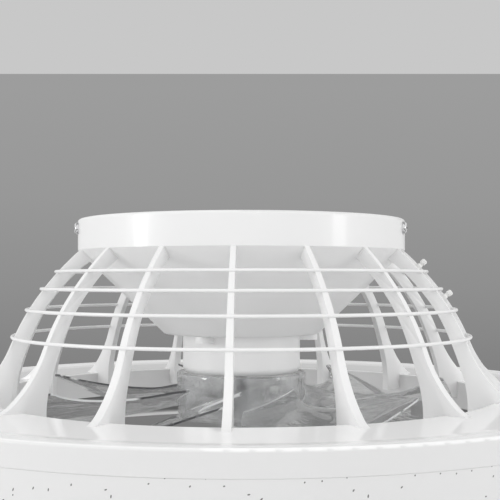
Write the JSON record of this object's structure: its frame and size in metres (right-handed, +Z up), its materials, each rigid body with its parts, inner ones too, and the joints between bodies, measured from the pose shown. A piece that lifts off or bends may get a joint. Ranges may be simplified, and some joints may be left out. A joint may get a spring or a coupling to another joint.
{
  "type": "caged ceiling fan with a ring lamp",
  "caption": "Low flush-mounted fan: clear blades under a ribbed cage, inside a broad flat ring lamp.",
  "frame": {"origin": "centre of the ceiling bracket, on the face that meets the ceiling", "axes": "+Z up into the ceiling along the fan's axis, -Y towards the front, +X along the bracket to the right"},
  "size_m": [0.4999, 0.5, 0.16],
  "materials": {
    "white_plastic": "satin gloss",
    "bowl_grey": "satin",
    "zinc_steel": "zinc plated",
    "chrome_screw": "bright plated",
    "bright_steel": "ground",
    "inner_plastic": "matt",
    "circuit_board": "solder mask",
    "light_board": "white coated",
    "light_chip": "phosphor",
    "core_steel": "laminated steel",
    "magnet": "plated magnet",
    "copper_wire": "enamelled copper",
    "clear_plastic": "clear, glossy",
    "milky_shade": "milky with small dark flecks",
    "lead_jacket": "white flexible jacket",
    "tie_nylon": "natural nylon"
  },
  "bodies": {
    "housing": {"bowl_screws": "zinc_steel", "cage_collar": "white_plastic", "cage_hoop_1": "white_plastic", "cage_hoop_2": "white_plastic", "cage_hoop_3": "white_plastic", "cage_hoop_4": "white_plastic", "cage_rib_01": "white_plastic", "cage_rib_02": "white_plastic", "cage_rib_03": "white_plastic", "cage_rib_04": "white_plastic", "cage_rib_05": "white_plastic", "cage_rib_06": "white_plastic", "cage_rib_07": "white_plastic", "cage_rib_08": "white_plastic", "cage_rib_09": "white_plastic", "cage_rib_10": "white_plastic", "cage_rib_11": "white_plastic", "cage_rib_12": "white_plastic", "cage_rib_13": "white_plastic", "cage_rib_14": "white_plastic", "cage_rib_15": "white_plastic", "cage_rib_16": "white_plastic", "ceiling_bracket": "zinc_steel", "collar_screws": "chrome_screw", "foot_screws": "zinc_steel", "lamp_housing": "white_plastic", "lamp_shade": "milky_shade", "lead_ties": "tie_nylon", "led_board": "light_board", "led_chips": "light_chip", "led_connector": "inner_plastic", "led_lead": "lead_jacket", "led_screws": "zinc_steel", "lower_bearing": "bright_steel", "motor_board": "circuit_board", "motor_bowl": "bowl_grey", "motor_end_plate": "zinc_steel", "motor_housing": "white_plastic", "motor_lead": "lead_jacket", "motor_screws": "zinc_steel", "receiver_board": "circuit_board", "receiver_box": "inner_plastic", "receiver_lid": "inner_plastic", "receiver_screws": "zinc_steel", "shade_catches": "zinc_steel", "stator_coils": "copper_wire", "stator_core": "core_steel", "stator_frames": "inner_plastic", "terminal_block": "inner_plastic", "terminal_screws": "zinc_steel", "upper_bearing": "bright_steel"},
    "rotor": {"motor_shaft": "bright_steel", "shaft_clip": "zinc_steel", "rotor_core": "core_steel", "rotor_magnets": "magnet", "impeller": "clear_plastic", "drive_pin": "bright_steel", "clamp_washer": "zinc_steel", "hub_nut": "chrome_screw"}
  },
  "joints": [
    {"name": "rotor_spin", "type": "hinge", "parent": "housing", "child": "rotor", "pos_m": [0, 0, -0.12], "axis": [0, 0, 1], "continuous": true}
  ]
}
